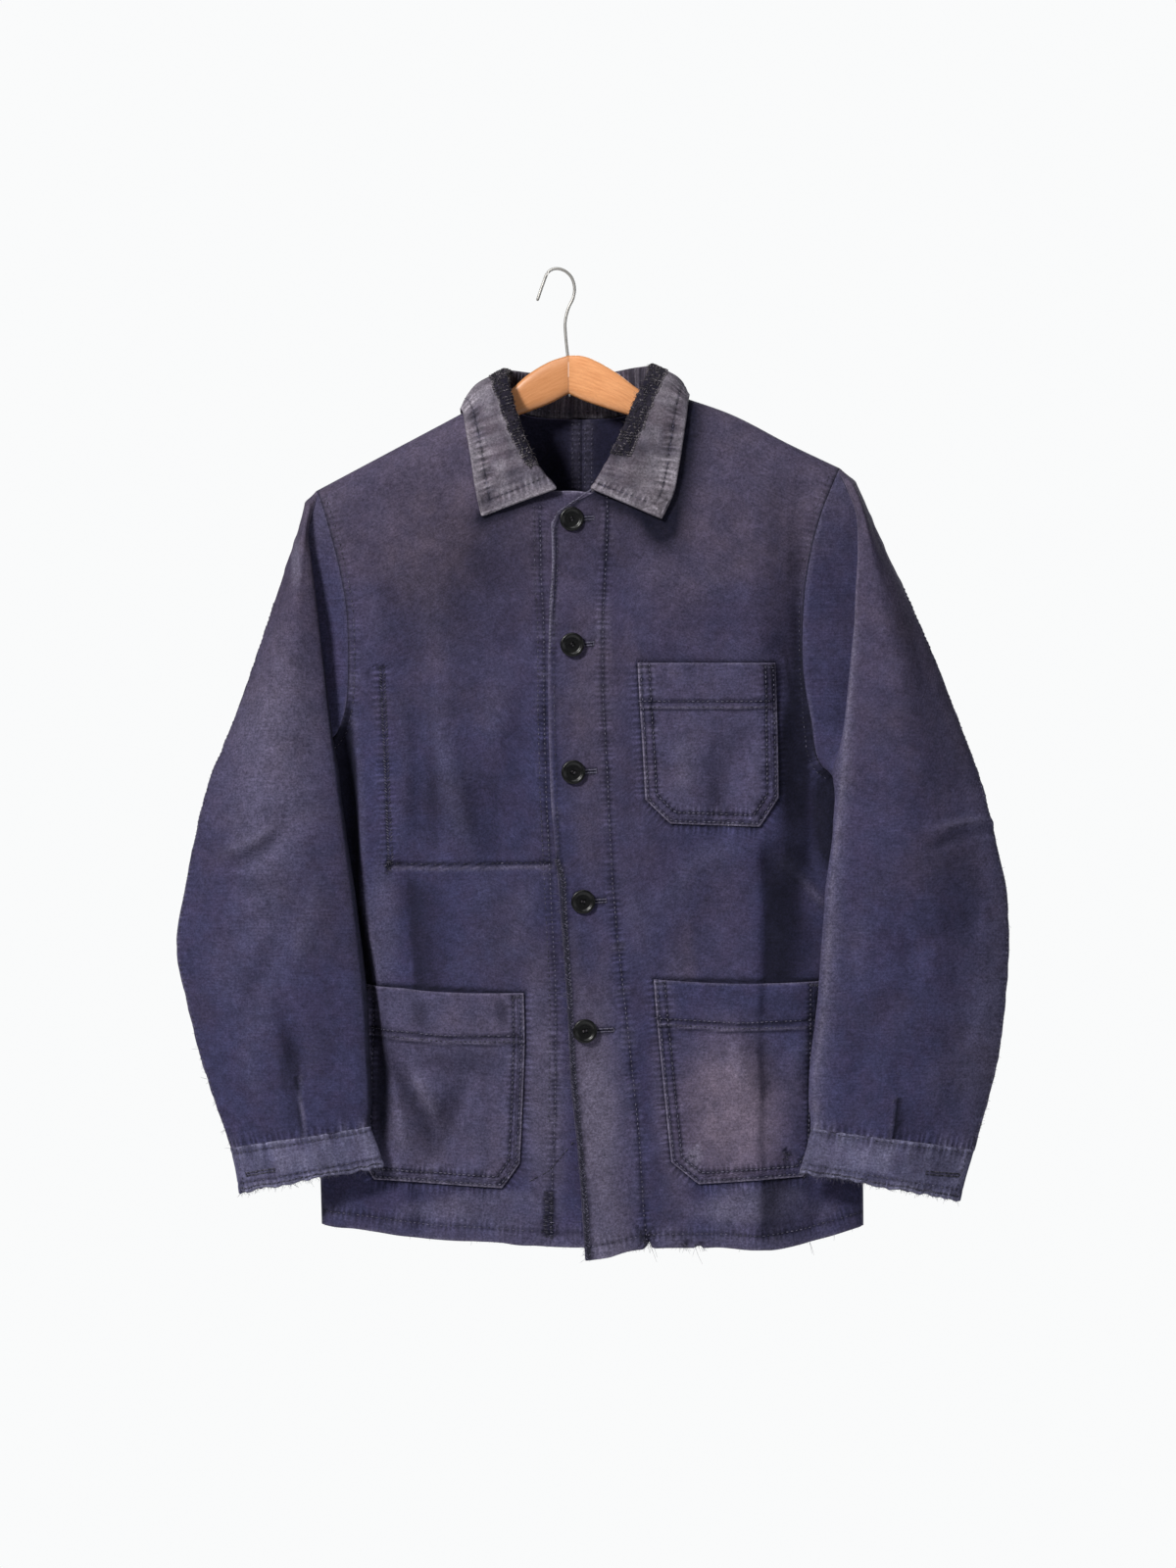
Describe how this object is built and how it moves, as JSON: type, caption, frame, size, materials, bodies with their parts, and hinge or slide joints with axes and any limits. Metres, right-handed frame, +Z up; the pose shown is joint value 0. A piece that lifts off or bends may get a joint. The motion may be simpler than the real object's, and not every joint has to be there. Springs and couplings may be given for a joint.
{
  "type": "chore jacket on a wooden hanger",
  "caption": "Hip-length cotton work jacket with a turned-down collar, patch pockets and a buttoned front, hanging closed on a curved wooden hanger with a wire hook.",
  "frame": {"origin": "inside top of the hanger's hook, where the rail bears", "axes": "+Z up, +X towards the wearer's left, -Y the way the buttoned front faces"},
  "size_m": [0.7227, 0.0964, 0.8622],
  "materials": {
    "moleskin": "washed and worn cotton moleskin",
    "collar_moleskin": "cotton moleskin worn grey",
    "button_plastic": "semi-gloss",
    "hanger_wood": "varnished",
    "hook_steel": "plain wire"
  },
  "bodies": {
    "root": {"front_right": "moleskin", "front_left": "moleskin", "back_right": "moleskin", "back_left": "moleskin", "sleeve_right_top_upper": "moleskin", "sleeve_right_top_lower": "moleskin", "sleeve_right_under_upper": "moleskin", "sleeve_right_under_lower": "moleskin", "sleeve_left_top_upper": "moleskin", "sleeve_left_top_lower": "moleskin", "sleeve_left_under_upper": "moleskin", "sleeve_left_under_lower": "moleskin", "cuff_right": "moleskin", "cuff_left": "moleskin", "collar": "collar_moleskin", "pocket_chest": "moleskin", "pocket_lower_right": "moleskin", "pocket_lower_left": "moleskin", "button_front_1": "button_plastic", "button_front_2": "button_plastic", "button_front_3": "button_plastic", "button_front_4": "button_plastic", "button_front_5": "button_plastic", "button_cuff_right": "button_plastic", "button_cuff_left": "button_plastic", "hanger_right": "hanger_wood", "hanger_left": "hanger_wood", "hook": "hook_steel"}
  },
  "joints": []
}
